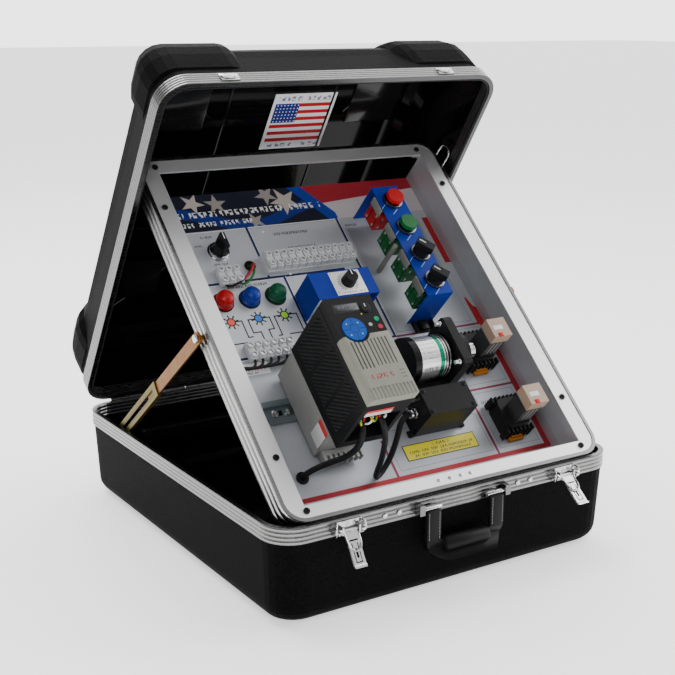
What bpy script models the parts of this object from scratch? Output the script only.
"""Variable frequency drive training case: open case, tilted instrument panel and everything on it."""
import math

import bmesh
import bpy
from mathutils import Matrix, Vector

MM = 0.001

# Driving dimensions, in millimetres. X is to the right, Y to the back, Z up.
CASE_WIDTH = 556.0
CASE_DEPTH = 612.8
CASE_CORNER = 42.0
BASE_HEIGHT = 135.0
LID_HEIGHT = 132.0
RIM_HEIGHT = 22.0
RIM_WALL = 7.0
SHELL_INSET = 2.5
SHELL_WALL = 4.0
LID_GAP = 0.6
LID_OPENING = math.radians(56.54)
LID_PIVOT_Y = CASE_DEPTH / 2 + 3.2
LID_PIVOT_Z = BASE_HEIGHT + LID_GAP / 2
LID_ROOF_ROUNDING = 58.0
LID_DRAFT = 11.0
BASE_ROUNDING = 24.0
BASE_DRAFT = 4.0
PAD_WIDTH = 152.0
PAD_LENGTH = 106.0
PAD_DROP = 1.5
PAD_LEVELS = ((3, 38, 18), (8, 25, 24), (20, 11, 30), (40, 2.5, 34), (60, 0, 36), (90, 0, 36), (98, 6, 32))

PANEL_WIDTH = 514.5
PANEL_LENGTH = 583.3
PANEL_TILT = math.radians(43.48)
PANEL_PIVOT_Y = -295.5
PANEL_PIVOT_Z = 126.9
FRAME_DEPTH = 31.0
FRAME_CORNER = 30.0
PIVOT_BEHIND_FACE = -3.8
PIVOT_BELOW_TOP = 12.1
PLATE_TOP = -56.8
PLATE_THICKNESS = 2.0
TRAY_HALF_WIDTH = 227.0
TRAY_BOTTOM = 22.0
TRAY_TOP = 556.5
SHEET = 1.5

DRIVE_LEFT = -156.0
DRIVE_RIGHT = -84.0
DRIVE_BOTTOM = 84.0
DRIVE_TOP = 236.0
CHASSIS_HEIGHT = 65.0
HOUSING_HEIGHT = 164.7
DRIVE_HEIGHT = 180.0
COVER_TOP = 177.7

STATION_HEIGHT = 72.0
STATION_LEFT = 91.0
STATION_RIGHT = 137.0
STATION_BOTTOM = 285.0
STATION_TOP = 486.5
STATION_CENTRE = 114.0
STATION_PLACES = (457.6, 408.1, 358.6, 309.1)
SELECTOR_TURN = math.radians(45.0)

LAMP_PLACES = (-184.0, -142.0, -100.0)
LAMP_LINE = 364.0
RELAY_PLACES = (194.0, 80.0)

MOTOR_LINE = 200.0
MOTOR_HEIGHT = 46.0
MOTOR_RADIUS = 31.0

STAY_PIVOT_Y = 205.0
STAY_PIVOT_Z = BASE_HEIGHT - 28.0
STAY_RIVET_ALONG = 289.0
STAY_RIVET_DOWN = -16.0
STAY_OUTER_LENGTH = 195.0
STAY_INNER_LENGTH = 203.0

LATCH_PLACES = (-178.0, 178.0)
LATCH_SPLAY = (31.0, 50.0)
LATCH_PIVOT_Y = -CASE_DEPTH / 2 - 5.6
LATCH_PIVOT_Z = BASE_HEIGHT - 15.0
HANDLE_PIVOT_Y = -CASE_DEPTH / 2 - 6.5
HANDLE_PIVOT_Z = BASE_HEIGHT - 13.0
HANDLE_HALF = 66.0

COLOURS = {
    "black_shell": ((0.012, 0.012, 0.013), 0.55, 0.0),
    "aluminium": ((0.62, 0.62, 0.61), 0.32, 0.9),
    "white_sheet": ((0.72, 0.73, 0.75), 0.4, 0.3),
    "brushed_plate": ((0.48, 0.50, 0.54), 0.42, 0.5),
    "chrome": ((0.8, 0.8, 0.8), 0.12, 1.0),
    "gold_steel": ((0.55, 0.36, 0.10), 0.32, 0.9),
    "black_plastic": ((0.016, 0.016, 0.017), 0.5, 0.0),
    "grey_metal": ((0.30, 0.30, 0.29), 0.45, 0.5),
    "grey_cover": ((0.52, 0.51, 0.46), 0.5, 0.0),
    "blue_paint": ((0.01, 0.08, 0.5), 0.4, 0.0),
    "blue_rubber": ((0.03, 0.22, 0.75), 0.5, 0.0),
    "red_plastic": ((0.6, 0.01, 0.015), 0.3, 0.0),
    "green_plastic": ((0.0, 0.22, 0.06), 0.35, 0.0),
    "blue_lens": ((0.01, 0.04, 0.35), 0.2, 0.0),
    "clear_plastic": ((0.75, 0.77, 0.78), 0.25, 0.0),
    "silver": ((0.75, 0.75, 0.75), 0.25, 0.9),
    "relay_beige": ((0.62, 0.45, 0.33), 0.45, 0.0),
    "black_rubber": ((0.01, 0.01, 0.011), 0.6, 0.0),
}


def clear_scene():
    for item in list(bpy.data.objects):
        bpy.data.objects.remove(item, do_unlink=True)


def material(name):
    found = bpy.data.materials.get(name)
    if found:
        return found
    colour, roughness, metallic = COLOURS[name]
    made = bpy.data.materials.new(name)
    made.use_nodes = True
    shader = made.node_tree.nodes["Principled BSDF"]
    shader.inputs["Base Color"].default_value = (*colour, 1.0)
    shader.inputs["Roughness"].default_value = roughness
    shader.inputs["Metallic"].default_value = metallic
    return made


# Local frames: the case itself, the tilted panel (X, along, out) and the opened lid.
CASE = Matrix.Identity(4)


def panel_matrix():
    pivot = Vector((0, PANEL_PIVOT_Y, PANEL_PIVOT_Z))
    turn = Matrix.Translation(pivot) @ Matrix.Rotation(PANEL_TILT, 4, "X")
    return turn @ Matrix.Translation((0, -PIVOT_BEHIND_FACE, PIVOT_BELOW_TOP))


def lid_matrix():
    pivot = Vector((0, LID_PIVOT_Y, LID_PIVOT_Z))
    return Matrix.Translation(pivot) @ Matrix.Rotation(-LID_OPENING, 4, "X") @ Matrix.Translation(-pivot)


PANEL = panel_matrix()
LID = lid_matrix()
PLATE = PANEL @ Matrix.Translation((0, 0, PLATE_TOP))


def finish(mesh, name, colour, frame, smooth=0.0):
    """Put a millimetre bmesh into a local frame and link it as one named object."""
    bmesh.ops.recalc_face_normals(mesh, faces=mesh.faces)
    mesh.transform(Matrix.Scale(MM, 4) @ frame)
    if mesh.calc_volume(signed=True) < 0:
        bmesh.ops.reverse_faces(mesh, faces=mesh.faces)
    data = bpy.data.meshes.new(name)
    mesh.to_mesh(data)
    mesh.free()
    made = bpy.data.objects.new(name, data)
    bpy.context.collection.objects.link(made)
    data.materials.append(material(colour))
    if smooth:
        data.shade_smooth()
        bpy.context.view_layer.objects.active = made
        bpy.ops.object.select_all(action="DESELECT")
        made.select_set(True)
        bpy.ops.object.shade_smooth_by_angle(angle=math.radians(smooth))
    return made


def rounded(half_x, half_y, radius, centre_y=0.0, steps=6):
    """Points round a rectangle with rounded corners, anticlockwise."""
    radius = max(radius, 0.5)
    points = []
    for turn, sx, sy in ((0, 1, 1), (1, -1, 1), (2, -1, -1), (3, 1, -1)):
        for step in range(steps + 1):
            angle = (turn + step / steps) * math.pi / 2
            x = sx * (half_x - radius) + radius * math.cos(angle)
            y = sy * (half_y - radius) + radius * math.sin(angle)
            points.append((x, y + centre_y))
    return points


def bridge(mesh, lower, upper):
    count = len(lower)
    for i in range(count):
        j = (i + 1) % count
        mesh.faces.new((lower[i], lower[j], upper[j], upper[i]))


def loop_verts(mesh, points, z):
    return [mesh.verts.new((x, y, z)) for x, y in points]


def loft(levels):
    """A closed solid through outlines given as (points, z), capped at both ends."""
    mesh = bmesh.new()
    loops = [loop_verts(mesh, points, z) for points, z in levels]
    for lower, upper in zip(loops, loops[1:]):
        bridge(mesh, lower, upper)
    mesh.faces.new(reversed(loops[0]))
    mesh.faces.new(loops[-1])
    return mesh


def swept_ring(half_x, half_y, radius, profile, centre_y=0.0, steps=6):
    """A closed ring whose section is given as (inset, z) points."""
    mesh = bmesh.new()
    loops = []
    for inset, z in profile:
        points = rounded(half_x - inset, half_y - inset, radius - inset, centre_y, steps)
        loops.append(loop_verts(mesh, points, z))
    for lower, upper in zip(loops, loops[1:] + loops[:1]):
        bridge(mesh, lower, upper)
    return mesh


def box(x, y, z):
    """A box from three (low, high) pairs."""
    mesh = bmesh.new()
    bmesh.ops.create_cube(mesh, size=1.0)
    size = [pair[1] - pair[0] for pair in (x, y, z)]
    middle = [(pair[0] + pair[1]) / 2 for pair in (x, y, z)]
    mesh.transform(Matrix.Translation(middle) @ Matrix.Diagonal((*size, 1.0)))
    return mesh


def cylinder(axis, centre, radius, low, high, sides=24, end_radius=None):
    """A cylinder or cone along x, y or z; centre holds the other two coordinates in order."""
    mesh = bmesh.new()
    far = radius if end_radius is None else end_radius
    bmesh.ops.create_cone(mesh, cap_ends=True, segments=sides, radius1=radius, radius2=far, depth=high - low)
    mesh.transform(Matrix.Translation((0, 0, (low + high) / 2)))
    if axis == "x":
        mesh.transform(Matrix(((0, 0, 1, 0), (1, 0, 0, centre[0]), (0, 1, 0, centre[1]), (0, 0, 0, 1))))
    elif axis == "y":
        mesh.transform(Matrix(((0, 1, 0, centre[0]), (0, 0, 1, 0), (1, 0, 0, centre[1]), (0, 0, 0, 1))))
    else:
        mesh.transform(Matrix.Translation((centre[0], centre[1], 0)))
    return mesh


def prism(axis, points, low, high):
    """A straight bar along an axis from a section outline in the other two coordinates."""
    mesh = bmesh.new()
    ends = []
    for place in (low, high):
        if axis == "x":
            ends.append([mesh.verts.new((place, a, b)) for a, b in points])
        elif axis == "y":
            ends.append([mesh.verts.new((a, place, b)) for a, b in points])
        else:
            ends.append([mesh.verts.new((a, b, place)) for a, b in points])
    bridge(mesh, ends[0], ends[1])
    mesh.faces.new(reversed(ends[0]))
    mesh.faces.new(ends[1])
    return mesh


def as_object(mesh, name):
    bmesh.ops.recalc_face_normals(mesh, faces=mesh.faces)
    data = bpy.data.meshes.new(name)
    mesh.to_mesh(data)
    mesh.free()
    made = bpy.data.objects.new(name, data)
    bpy.context.collection.objects.link(made)
    return made


def combine(first, others, operation):
    """Boolean a list of bmeshes into the first one and give back a new bmesh."""
    body = as_object(first, "combined")
    tools = []
    for number, other in enumerate(others):
        tool = as_object(other, "cutter_%d" % number)
        tool.hide_render = True
        tool.display_type = "WIRE"
        modifier = body.modifiers.new("cut", "BOOLEAN")
        modifier.operation = operation
        modifier.solver = "EXACT"
        modifier.object = tool
        tools.append(tool)
    bpy.context.view_layer.update()
    solid = body.evaluated_get(bpy.context.evaluated_depsgraph_get())
    mesh = bmesh.new()
    mesh.from_mesh(solid.to_mesh())
    solid.to_mesh_clear()
    for item in [body, *tools]:
        data = item.data
        bpy.data.objects.remove(item, do_unlink=True)
        bpy.data.meshes.remove(data)
    bmesh.ops.remove_doubles(mesh, verts=mesh.verts, dist=1e-4)
    return mesh


def union(first, *others):
    return combine(first, others, "UNION")


def minus(first, *others):
    return combine(first, others, "DIFFERENCE")


def tube(name, colour, points, radius, frame, cyclic=False):
    """A round bar or cable along hand-placed points, converted to a closed mesh."""
    curve = bpy.data.curves.new(name, "CURVE")
    curve.dimensions = "3D"
    curve.bevel_depth = radius * MM
    curve.bevel_resolution = 2
    curve.use_fill_caps = True
    spline = curve.splines.new("POLY")
    spline.points.add(len(points) - 1)
    for spot, point in zip(spline.points, points):
        place = frame @ Vector(point)
        spot.co = (*(place * MM), 1.0)
    spline.use_cyclic_u = cyclic
    holder = bpy.data.objects.new(name + "_path", curve)
    bpy.context.collection.objects.link(holder)
    bpy.context.view_layer.update()
    solid = holder.evaluated_get(bpy.context.evaluated_depsgraph_get())
    mesh = bmesh.new()
    mesh.from_mesh(solid.to_mesh())
    solid.to_mesh_clear()
    bpy.data.objects.remove(holder, do_unlink=True)
    bpy.data.curves.remove(curve)
    bmesh.ops.remove_doubles(mesh, verts=mesh.verts, dist=1e-6)
    mesh.transform(Matrix.Scale(1 / MM, 4))
    return finish(mesh, name, colour, CASE, smooth=40)


def smooth_path(corners, per_span):
    """Catmull-Rom points through hand-placed corners."""
    padded = [corners[0], *corners, corners[-1]]
    points = []
    for i in range(len(corners) - 1):
        a, b, c, d = (Vector(p) for p in padded[i:i + 4])
        for step in range(per_span):
            t = step / per_span
            point = 0.5 * (2 * b + (c - a) * t + (2 * a - 5 * b + 4 * c - d) * t * t
                           + (3 * b - a - 3 * c + d) * t ** 3)
            points.append(tuple(point))
    points.append(tuple(corners[-1]))
    return points


def hinge_leaf(name, colour, frame, centre, plate, knuckles, spans, gap=0.5, radius=2.4):
    """A piano hinge leaf: a long plate plus curled knuckles on its own share of the pivot line.

    centre is the pivot (y, z), plate gives (y0, y1, z0, z1), spans its x range, knuckles
    the (start, end) pairs this leaf owns.
    """
    body = box(spans, plate[:2], plate[2:])
    knobs = []
    for start, end in knuckles:
        knobs.append(cylinder("x", centre, radius, start + gap, end - gap, 14))
        web_z = sorted((plate[3] if centre[1] > plate[3] else plate[2], centre[1]))
        low, high = web_z[0] - 1.0, web_z[1] + 1.0
        if centre[1] > plate[3]:
            high = centre[1]
        else:
            low = centre[1]
        knobs.append(box((start + gap, end - gap), plate[:2], (low, high)))
    return finish(union(body, *knobs), name, colour, frame, smooth=35)


def share(start, end, count, mine):
    """Every second stretch of a pivot line cut in equal stretches."""
    step = (end - start) / count
    return [(start + i * step, start + (i + 1) * step) for i in range(count) if i % 2 == mine]


def shell_levels(height, rounding, draft, wall, grow_wall):
    """Outer outlines of an open tub, from its closed face (z=0) up to its mouth."""
    levels = []
    half_x = CASE_WIDTH / 2 - SHELL_INSET - wall
    half_y = CASE_DEPTH / 2 - SHELL_INSET - wall
    corner = CASE_CORNER - SHELL_INSET - wall
    bend = rounding - wall
    for step in range(6):
        angle = step / 5 * math.pi / 2
        inset = draft + bend * (1 - math.sin(angle))
        points = rounded(half_x - inset, half_y - inset, max(corner - inset * 0.35, 6.0))
        levels.append((points, grow_wall + bend * (1 - math.cos(angle))))
    levels.append((rounded(half_x, half_y, corner), height))
    return levels


def tub(height, rounding, draft):
    """A moulded tub with its closed face at z=0 and its mouth at z=height."""
    outer = shell_levels(height, rounding, draft, 0.0, 0.0)
    inner = shell_levels(height, rounding, draft, SHELL_WALL, SHELL_WALL)
    return loft(outer + inner[::-1])


def build_base():
    shell_top = BASE_HEIGHT - RIM_HEIGHT - 0.3
    finish(tub(shell_top, BASE_ROUNDING, BASE_DRAFT), "base_shell", "black_shell", CASE, smooth=35)
    rim = ((0, BASE_HEIGHT - RIM_HEIGHT), (0, BASE_HEIGHT), (RIM_WALL, BASE_HEIGHT),
           (RIM_WALL, BASE_HEIGHT - RIM_HEIGHT))
    finish(swept_ring(CASE_WIDTH / 2, CASE_DEPTH / 2, CASE_CORNER, rim, steps=8),
           "base_rim", "aluminium", CASE, smooth=35)
    back = CASE_DEPTH / 2 + 0.3
    pivot = (LID_PIVOT_Y, LID_PIVOT_Z)
    hinge_leaf("lid_hinge_base_leaf", "chrome", CASE, pivot, (back, back + 1.2, 116, 132),
               share(-232, 232, 7, 0), (-232, 232))


def corner_pad(sx, sy, drop):
    """A raised moulded bumper wrapped round one corner of the lid, in tub coordinates."""
    half_x = CASE_WIDTH / 2 - SHELL_INSET - drop
    half_y = CASE_DEPTH / 2 - SHELL_INSET - drop
    levels = []
    for z, inset, radius in PAD_LEVELS:
        wide, deep = PAD_WIDTH - inset, PAD_LENGTH - inset
        centre = (sx * (half_x - inset - wide / 2), sy * (half_y - inset - deep / 2))
        levels.append(([(x + centre[0], y + centre[1]) for x, y in rounded(wide / 2, deep / 2, radius, steps=4)], z))
    return loft(levels)


def build_lid():
    rim_low = BASE_HEIGHT + LID_GAP
    rim = ((0, rim_low), (0, rim_low + RIM_HEIGHT), (RIM_WALL, rim_low + RIM_HEIGHT), (RIM_WALL, rim_low))
    finish(swept_ring(CASE_WIDTH / 2, CASE_DEPTH / 2, CASE_CORNER, rim, steps=8),
           "lid_rim", "aluminium", LID, smooth=35)
    mouth = LID_HEIGHT - RIM_HEIGHT - LID_GAP - 0.3
    shell = tub(mouth, LID_ROOF_ROUNDING, LID_DRAFT)
    pads = [corner_pad(sx, sy, PAD_DROP) for sx, sy in ((1, 1), (-1, 1), (-1, -1), (1, -1))]
    hollow = loft(shell_levels(mouth, LID_ROOF_ROUNDING, LID_DRAFT, SHELL_WALL, SHELL_WALL))
    pads = [minus(pad, hollow.copy()) for pad in pads]
    hollow.free()
    shell = union(shell, *pads)
    flip = Matrix.Translation((0, 0, BASE_HEIGHT + LID_HEIGHT)) @ Matrix.Diagonal((1, 1, -1, 1))
    finish(shell, "lid_shell", "black_shell", LID @ flip, smooth=35)
    back = CASE_DEPTH / 2 + 0.3
    pivot = (LID_PIVOT_Y, LID_PIVOT_Z)
    hinge_leaf("lid_hinge_lid_leaf", "chrome", LID, pivot, (back, back + 1.2, 138.6, 154),
               share(-232, 232, 7, 1), (-232, 232))


def build_latches():
    front = -CASE_DEPTH / 2 - 0.3
    for side, place, splay in zip(("left", "right"), LATCH_PLACES, LATCH_SPLAY):
        plate = box((place - 18.5, place + 18.5), (front - 1.8, front), (115.5, 131.5))
        ears = [box((place + s - 1.2, place + s + 1.2), (front - 9.5, front - 1), (115.8, 126.0))
                for s in (-12.4, 12.4)]
        finish(union(plate, *ears), "latch_plate_" + side, "chrome", CASE)
        turn = Matrix.Translation((place, LATCH_PIVOT_Y, LATCH_PIVOT_Z)) @ Matrix.Rotation(
            -math.radians(splay), 4, "X")
        outline = ((-1.4, -3.0), (1.4, -3.0), (1.4, -44.0), (-0.4, -47.5), (-2.6, -48.5), (-2.6, -46.0),
                   (-1.4, -44.0))
        lever = prism("x", outline, -8.6, 8.6)
        pin = cylinder("x", (0, 0), 1.9, -10.8, 10.8, 12)
        arms = [box((s - 1.2, s + 1.2), (-1.4, 1.4), (-6.0, 0.0)) for s in (-7.4, 7.4)]
        finish(union(lever, pin, *arms), "latch_lever_" + side, "chrome", turn)


def build_handle():
    front = -CASE_DEPTH / 2 - 0.3
    for side, sign in (("left", -1), ("right", 1)):
        x = sorted((sign * (HANDLE_HALF + 0.5), sign * (HANDLE_HALF + 8.5)))
        finish(box(x, (front - 11.0, front), (115.5, 129.0)), "handle_bracket_" + side, "chrome", CASE)
    y = HANDLE_PIVOT_Y
    half = HANDLE_HALF - 6.0
    route = [(-half - 5.6, y, 0.0), (-half, y, -0.6), (-half + 4, y, -6.0), (-half + 7, y - 1, -20),
             (-half + 12, y - 2, -38), (-half + 20, y - 3, -49), (-half + 36, y - 3, -54), (0, y - 3, -56)]
    route += [(-x, b, c) for x, b, c in route[-2::-1]]
    path = [(x, b, c + HANDLE_PIVOT_Z) for x, b, c in route]
    tube("handle_grip", "black_rubber", smooth_path(path, 2), 4.6, CASE)


def build_panel():
    middle = PANEL_LENGTH / 2
    frame = ((0, 0), (5, 0), (5, -3.4), (16, -3.4), (16, -6.4), (5, -6.4), (5, -FRAME_DEPTH), (0, -FRAME_DEPTH))
    finish(swept_ring(PANEL_WIDTH / 2, middle, FRAME_CORNER, frame, centre_y=middle),
           "panel_frame", "aluminium", PANEL, smooth=35)

    edge = rounded(PANEL_WIDTH / 2 - 5.5, middle - 5.5, FRAME_CORNER - 5.5, centre_y=middle)
    flange = prism("z", edge, -3.0, -1.0)
    window = box((-TRAY_HALF_WIDTH, TRAY_HALF_WIDTH), (TRAY_BOTTOM, TRAY_TOP), (-9, 9))
    flange = minus(flange, window)
    out = TRAY_HALF_WIDTH + SHEET
    floor = PLATE_TOP - PLATE_THICKNESS - 0.3 - SHEET

    def channel(lip, top):
        inner = TRAY_HALF_WIDTH - lip
        points = ((-out, TRAY_TOP), (-out, TRAY_BOTTOM - SHEET), (out, TRAY_BOTTOM - SHEET), (out, TRAY_TOP),
                  (inner, TRAY_TOP), (inner, TRAY_BOTTOM + lip), (-inner, TRAY_BOTTOM + lip), (-inner, TRAY_TOP))
        return prism("z", points, floor, top)

    walls = channel(0.0, -2.0)
    lips = channel(14.0, floor + SHEET)
    finish(union(flange, walls, lips), "panel_tray", "white_sheet", PANEL)

    play = 0.4
    plate = box((-TRAY_HALF_WIDTH + play, TRAY_HALF_WIDTH - play), (TRAY_BOTTOM + play, TRAY_TOP - play),
                (PLATE_TOP - PLATE_THICKNESS, PLATE_TOP))
    finish(plate, "panel_plate", "brushed_plate", PANEL)

    local_pivot = (PIVOT_BEHIND_FACE, -PIVOT_BELOW_TOP)
    hinge_leaf("panel_hinge_frame_leaf", "chrome", PANEL, local_pivot, (-1.5, -0.3, -29.5, -16.0),
               share(-200, 200, 7, 1), (-200, 200), radius=2.6)
    front = -CASE_DEPTH / 2 + RIM_WALL + 0.3
    hinge_leaf("panel_hinge_rim_leaf", "chrome", CASE, (PANEL_PIVOT_Y, PANEL_PIVOT_Z),
               (front, front + 1.2, 114.0, 123.2), share(-200, 200, 7, 0), (-200, 200), radius=2.6)

    x = PANEL_WIDTH / 2 + 2.0
    bail = [(x, 533, -8), (x, 533, 14), (x, 536, 23), (x, 544.5, 27), (x, 553, 23), (x, 556, 14), (x, 556, -8)]
    tube("panel_wire_bail", "chrome", smooth_path(bail, 3), 1.4, PANEL)


def stay_matrix():
    """The stay's own frame: origin on the base pivot, Y along the stay towards the panel."""
    pivot = Vector((0, STAY_PIVOT_Y, STAY_PIVOT_Z))
    rivet = PANEL @ Vector((0, STAY_RIVET_ALONG, STAY_RIVET_DOWN))
    reach = rivet - pivot
    length = reach.length
    angle = math.atan2(reach.z, reach.y)
    return Matrix.Translation(pivot) @ Matrix.Rotation(angle, 4, "X"), length


def build_stays():
    frame, length = stay_matrix()
    for side, sign in (("left", -1), ("right", 1)):
        mirror = Matrix.Diagonal((sign, 1, 1, 1))
        outer = ((268.6, -11.0), (268.6, 11.0), (262.2, 11.0), (262.2, 9.4), (267.2, 9.4), (267.2, -9.4),
                 (262.2, -9.4), (262.2, -11.0))
        channel = prism("y", outer, -12.0, STAY_OUTER_LENGTH)
        slot = box((260, 275), (26, STAY_OUTER_LENGTH - 14), (-3.2, 3.2))
        stub = cylinder("x", (0, 0), 4.2, 266.9, 270.6, 16)
        made = union(minus(channel, slot), stub)
        finish(made, "stay_outer_" + side, "gold_steel", frame @ mirror)
        inner = ((266.6, -8.8), (266.6, 8.8), (263.4, 8.8), (263.4, 7.4), (265.2, 7.4), (265.2, -7.4),
                 (263.4, -7.4), (263.4, -8.8))
        bar = prism("y", inner, length - STAY_INNER_LENGTH, length - 6.0)
        eye = cylinder("x", (length, 0), 9.0, 263.4, 266.6, 20)
        rivet = cylinder("x", (length, 0), 4.0, 258.2, 266.9, 16)
        finish(union(bar, eye, rivet), "stay_inner_" + side, "gold_steel", frame @ mirror)


def build_controls():
    base = PLATE
    knob = union(cylinder("z", (-157, 450), 11.5, 0.4, 20.0, 24, 10.5),
                 box((-160.4, -153.6), (437.5, 462.5), (14.0, 31.0)))
    finish(knob, "power_switch_knob", "black_plastic", base, smooth=35)

    poles = 12
    pitch = 150.0 / poles
    rail = box((-99.5, 50.5), (400, 432), (0.3, 9.0))
    blocks = [box((-99.5 + i * pitch + 1.0, -99.5 + (i + 1) * pitch - 1.0), (401.5, 430.5), (8.0, 19.0))
              for i in range(poles)]
    finish(union(rail, *blocks), "terminal_strip", "clear_plastic", base)

    for name, place, colour in zip(("red", "blue", "green"), LAMP_PLACES,
                                   ("red_plastic", "blue_lens", "green_plastic")):
        lens = [(14.5, 0.3), (14.5, 5.0), (12.6, 6.0), (12.4, 14.0), (10.5, 18.0), (6.0, 20.4), (1.5, 21.0)]
        levels = [([(place + x, LAMP_LINE + y) for x, y in rounded(r, r, r, steps=6)], z) for r, z in lens]
        finish(loft(levels), "pilot_lamp_" + name, colour, base, smooth=35)

    outer = ((-70, 0.3), (-70, 52), (32, 52), (32, 0.3), (30.4, 0.3), (30.4, 50.4), (-68.4, 50.4), (-68.4, 0.3))
    bracket = prism("y", outer, 315.0, 360.0)
    shaft_hole = cylinder("z", (-12.5, 338), 5.2, 45, 60, 20)
    bracket = minus(bracket, shaft_hole)
    finish(bracket, "speed_bracket", "blue_paint", base)
    knob = union(cylinder("z", (-12.5, 338), 3.0, 38.0, 54.0, 16), cylinder("z", (-12.5, 338), 11.0, 53.0, 69.0, 24, 9.6),
                 box((-13.4, -11.6), (338, 348.2), (68.0, 70.2)))
    finish(knob, "speed_knob", "black_plastic", base, smooth=35)

    rail = ((161.5, 6.3), (169.0, 6.3), (169.0, 0.3), (189.0, 0.3), (189.0, 6.3), (196.5, 6.3), (196.5, 7.5),
            (187.8, 7.5), (187.8, 1.5), (170.2, 1.5), (170.2, 7.5), (161.5, 7.5))
    finish(prism("x", rail, -195.5, -62.0), "din_rail", "grey_metal", base)


def build_station():
    base = PLATE
    outer = ((STATION_BOTTOM, 0.3), (STATION_BOTTOM, STATION_HEIGHT), (STATION_TOP, STATION_HEIGHT),
             (STATION_TOP, 0.3), (STATION_TOP - 1.6, 0.3), (STATION_TOP - 1.6, STATION_HEIGHT - 1.6),
             (STATION_BOTTOM + 1.6, STATION_HEIGHT - 1.6), (STATION_BOTTOM + 1.6, 0.3))
    bracket = prism("x", outer, STATION_LEFT, STATION_RIGHT)
    holes = [cylinder("z", (STATION_CENTRE, y), 11.4, STATION_HEIGHT - 4, STATION_HEIGHT + 4, 24)
             for y in STATION_PLACES]
    finish(minus(bracket, *holes), "station_bracket", "blue_paint", base)

    face = STATION_HEIGHT
    colours = ("red_plastic", "green_plastic", "green_plastic", "green_plastic")
    for number, (place, colour) in enumerate(zip(STATION_PLACES, colours), 1):
        centre = (STATION_CENTRE, place)
        stem = cylinder("z", centre, 11.0, face - 14.0, face + 4.0, 24)
        collar = cylinder("z", centre, 14.5, face + 0.3, face + 5.0, 28)
        block = box((STATION_CENTRE - 21, STATION_CENTRE + 15), (place - 15, place + 15), (face - 48, face - 13))
        bore = cylinder("z", centre, 9.4, face - 6.0, face + 9.0, 24)
        finish(minus(union(stem, collar, block), bore), "contact_block_%d" % number, colour, base)

    for name, place, colour in (("stop_button", STATION_PLACES[0], "red_plastic"),
                                ("start_button", STATION_PLACES[1], "green_plastic")):
        cap = union(cylinder("z", (STATION_CENTRE, place), 9.0, face - 1.0, face + 11.0, 24),
                    cylinder("z", (STATION_CENTRE, place), 13.5, face + 9.6, face + 15.5, 28, 12.8))
        finish(cap, name, colour, base, smooth=35)
    for name, place in (("direction_selector", STATION_PLACES[2]), ("mode_selector", STATION_PLACES[3])):
        knob = union(cylinder("z", (0, 0), 9.0, face - 1.0, face + 6.0, 24),
                     cylinder("z", (0, 0), 12.4, face + 5.4, face + 15.0, 28),
                     box((-6.5, 6.5), (-13.5, 13.5), (face + 14.0, face + 25.0)))
        spot = Matrix.Translation((STATION_CENTRE, place, 0)) @ Matrix.Rotation(SELECTOR_TURN, 4, "Z")
        finish(knob, name, "black_plastic", base @ spot, smooth=35)


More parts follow.
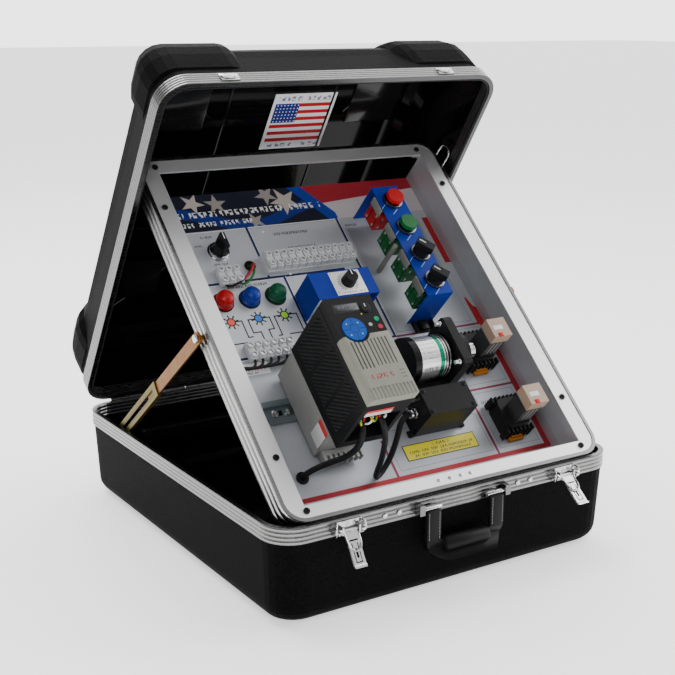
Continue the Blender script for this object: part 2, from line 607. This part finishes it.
def build_drive():
    base = PLATE
    x = (DRIVE_LEFT, DRIVE_RIGHT)
    middle = (DRIVE_LEFT + DRIVE_RIGHT) / 2
    chassis = box((x[0] + 0.3, x[1] - 0.3), (105, 233), (8.1, CHASSIS_HEIGHT))
    duct = cylinder("y", (middle, 36), 25.0, 208, 240, 28)
    finish(minus(chassis, duct), "drive_chassis", "grey_metal", base)

    hub = cylinder("y", (middle, 36), 9.0, 214, 228, 20)
    blades = []
    for turn in range(7):
        blade = box((-1.2, 1.2), (216, 226), (7, 23))
        angle = turn / 7 * 2 * math.pi
        blade.transform(Matrix.Translation((middle, 0, 36)) @ Matrix.Rotation(angle, 4, "Y"))
        blades.append(blade)
    finish(union(hub, *blades), "drive_fan", "black_plastic", base)

    housing = box(x, (DRIVE_BOTTOM, DRIVE_TOP), (CHASSIS_HEIGHT + 0.3, HOUSING_HEIGHT))
    pocket = box((x[0] + 7, x[1] - 7), (DRIVE_BOTTOM - 5, DRIVE_BOTTOM + 30), (78, 138))
    finish(minus(housing, pocket), "drive_housing", "black_plastic", base)

    nav = (-131.0, 187.0)
    low = HOUSING_HEIGHT + 0.3
    section = ((x[0], low), (x[1], low), (x[1], DRIVE_HEIGHT), (x[0] + 7.5, DRIVE_HEIGHT), (x[0], 170.0))
    cover = minus(prism("y", section, DRIVE_BOTTOM, COVER_TOP),
                  cylinder("z", nav, 20.5, low - 5, DRIVE_HEIGHT + 5, 32))
    finish(cover, "drive_cover", "grey_cover", base)

    keypad = union(box((x[0] + 0.4, x[1] - 0.4), (COVER_TOP + 0.3, DRIVE_TOP), (low, DRIVE_HEIGHT - 2)),
                   cylinder("z", nav, 20.1, low, DRIVE_HEIGHT - 2, 32))
    keys = {"drive_start_key": ((-92.6, 197.5), 3.6, "green_plastic"),
            "drive_stop_key": ((-92.2, 185.5), 3.6, "red_plastic"),
            "drive_menu_key": ((-105.0, 190.5), 2.6, "grey_metal")}
    pot = (-101.0, 216.0)
    wells = [cylinder("z", nav, 17.9, DRIVE_HEIGHT - 7, DRIVE_HEIGHT + 1, 32),
             cylinder("z", pot, 6.4, DRIVE_HEIGHT - 7, DRIVE_HEIGHT + 1, 24)]
    wells += [cylinder("z", c, r + 0.4, DRIVE_HEIGHT - 7, DRIVE_HEIGHT + 1, 16) for c, r, _ in keys.values()]
    finish(minus(keypad, *wells), "drive_keypad", "black_plastic", base)
    finish(cylinder("z", nav, 17.5, DRIVE_HEIGHT - 5.2, DRIVE_HEIGHT - 0.6, 32, 16.8), "drive_nav_pad",
           "blue_rubber", base, smooth=35)
    for name, (centre, radius, colour) in keys.items():
        finish(cylinder("z", centre, radius, DRIVE_HEIGHT - 5.4, DRIVE_HEIGHT - 1.0, 16), name, colour, base,
               smooth=35)
    knob = union(cylinder("z", pot, 6.0, DRIVE_HEIGHT - 6.0, DRIVE_HEIGHT - 0.2, 20),
                 box((pot[0] - 0.9, pot[0] + 0.9), (pot[1] - 5, pot[1] + 5), (DRIVE_HEIGHT - 1, DRIVE_HEIGHT)))
    finish(knob, "drive_speed_pot", "black_plastic", base, smooth=35)


def build_motor():
    base = PLATE
    line = (MOTOR_LINE, MOTOR_HEIGHT)
    can = union(cylinder("x", line, MOTOR_RADIUS, 20, 83.7, 32), cylinder("x", line, MOTOR_RADIUS + 2.5, 16, 27, 32))
    finish(can, "motor_can", "silver", base, smooth=35)
    flange = prism("x", [(MOTOR_LINE + a, MOTOR_HEIGHT + b) for a, b in rounded(40, 40, 7, steps=3)], 84.0, 98.0)
    gearbox = cylinder("x", line, 28.0, 97.0, 116.0, 28)
    foot = box((84.0, 98.0), (MOTOR_LINE - 38, MOTOR_LINE + 38), (0.3, 8.0))
    bore = cylinder("x", line, 6.3, 104.0, 120.0, 20)
    finish(minus(union(flange, gearbox, foot), bore), "motor_gearhead", "black_plastic", base, smooth=35)
    shaft = union(cylinder("x", line, 6.0, 105.0, 128.0, 20), cylinder("x", line, 11.0, 126.0, 137.0, 24))
    finish(shaft, "motor_shaft", "silver", base, smooth=35)
    case = box((9, 89), (105, 147), (0.3, 60))
    finish(case, "motor_terminal_box", "black_plastic", base)


def build_relays():
    base = PLATE
    for number, place in enumerate(RELAY_PLACES, 1):
        socket = prism("z", [(170 + a, place + 20 + b) for a, b in rounded(20, 24, 9, steps=3)], 0.3, 27.0)
        well = box((158.5, 188.5), (place + 0.5, place + 30.5), (22.0, 30.0))
        finish(minus(socket, well), "relay_socket_%d" % number, "black_plastic", base)
        relay = union(box((159, 188), (place + 1, place + 30), (22.3, 66.0)),
                      box((158, 189.5), (place, place + 31), (64.0, 82.0)))
        finish(relay, "relay_%d" % number, "relay_beige", base)


def build_cables():
    supply = [(-181, 81, -14), (-181, 81, 2), (-179, 81.5, 10), (-170, 82, 19), (-155, 80, 34), (-141, 74, 56),
              (-133, 74, 80), (-130, 84, 97), (-128, 98, 103)]
    tube("supply_cable", "black_rubber", smooth_path(supply, 3), 4.2, PLATE)
    lead = [(-110, 98, 118), (-107, 82, 112), (-100, 70, 92), (-93, 60, 55), (-88, 55, 22), (-78, 57, 8.5),
            (-62, 67, 9), (-46, 82, 16), (-33, 100, 26), (-20, 118, 32), (-6, 125, 33), (8.4, 125, 33)]
    tube("motor_cable", "black_rubber", smooth_path(lead, 3), 4.0, PLATE)


def cut_cable_hole():
    """The supply cable passes through the plate: open a round hole round it."""
    plate = bpy.data.objects["panel_plate"]
    hole = cylinder("z", (-181, 81), 7.0, -12, 8, 24)
    hole.transform(Matrix.Scale(MM, 4) @ PLATE)
    tool = as_object(hole, "cutter_hole")
    modifier = plate.modifiers.new("hole", "BOOLEAN")
    modifier.operation = "DIFFERENCE"
    modifier.solver = "EXACT"
    modifier.object = tool
    bpy.ops.object.select_all(action="DESELECT")
    bpy.context.view_layer.objects.active = plate
    plate.select_set(True)
    bpy.ops.object.modifier_apply(modifier="hole")
    bpy.data.objects.remove(tool, do_unlink=True)


def main():
    clear_scene()
    build_base()
    build_lid()
    build_latches()
    build_handle()
    build_panel()
    build_stays()
    build_controls()
    build_station()
    build_drive()
    build_motor()
    build_relays()
    build_cables()
    cut_cable_hole()


main()
